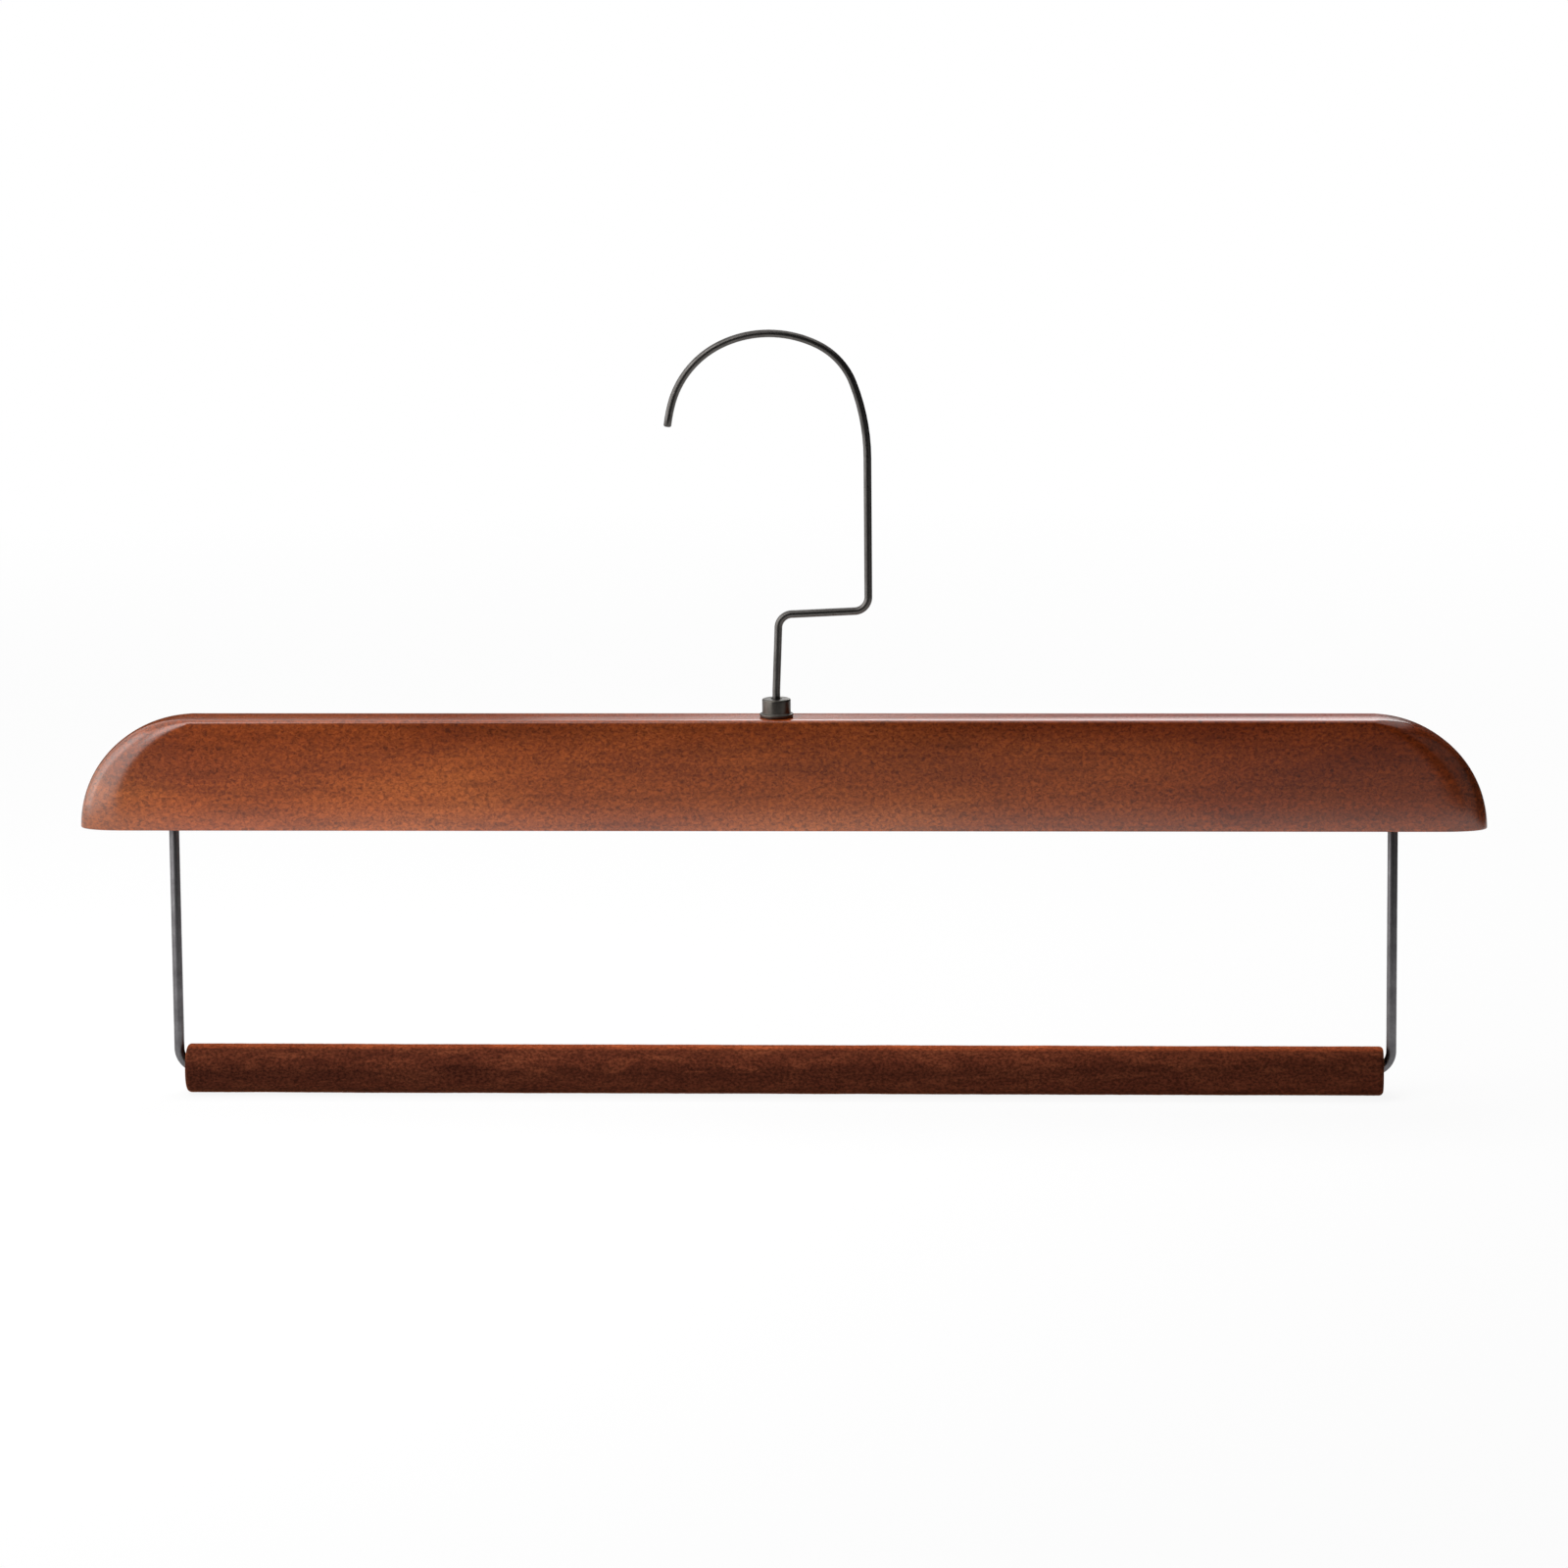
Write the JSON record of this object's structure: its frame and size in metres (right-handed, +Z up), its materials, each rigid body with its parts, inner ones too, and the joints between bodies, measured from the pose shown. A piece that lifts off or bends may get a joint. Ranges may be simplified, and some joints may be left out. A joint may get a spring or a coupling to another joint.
{
  "type": "trouser hanger",
  "caption": "Wooden trouser hanger: a flat bar with rounded ends on a swivel wire hook, and a round velvet-covered rail that turns on bent wire legs below it.",
  "frame": {"origin": "the point inside the top of the hook's bowl that rests on a wardrobe rail", "axes": "+X along the bar, from the hook's open side towards its straight run; +Y from the bar's front face to its back face; +Z up"},
  "size_m": [0.4, 0.014, 0.2196],
  "materials": {
    "stained_wood": "red-brown stained beech under satin lacquer",
    "bare_wood": "bare beech",
    "dark_wire": "dark gunmetal plated steel wire, satin",
    "dark_ferrule": "dark gunmetal plated turned steel, satin",
    "plain_steel": "plain steel",
    "brown_velvet": "dark chocolate velvet"
  },
  "bodies": {
    "hook": {"hook_wire": "dark_wire"},
    "hanger": {"top_bar": "stained_wood", "hook_ferrule": "dark_ferrule", "swivel_washer": "plain_steel", "left_leg_wire": "dark_wire", "right_leg_wire": "dark_wire"},
    "rail": {"rail_dowel": "bare_wood", "rail_velvet": "brown_velvet"}
  },
  "joints": [
    {"name": "hook_swivel", "type": "hinge", "parent": "hook", "child": "hanger", "pos_m": [0.0013, 0, -0.1028], "axis": [0, 0, 1], "continuous": true},
    {"name": "rail_roll", "type": "hinge", "parent": "hanger", "child": "rail", "pos_m": [0.0022, 0, -0.2104], "axis": [1, 0, 0], "continuous": true}
  ]
}
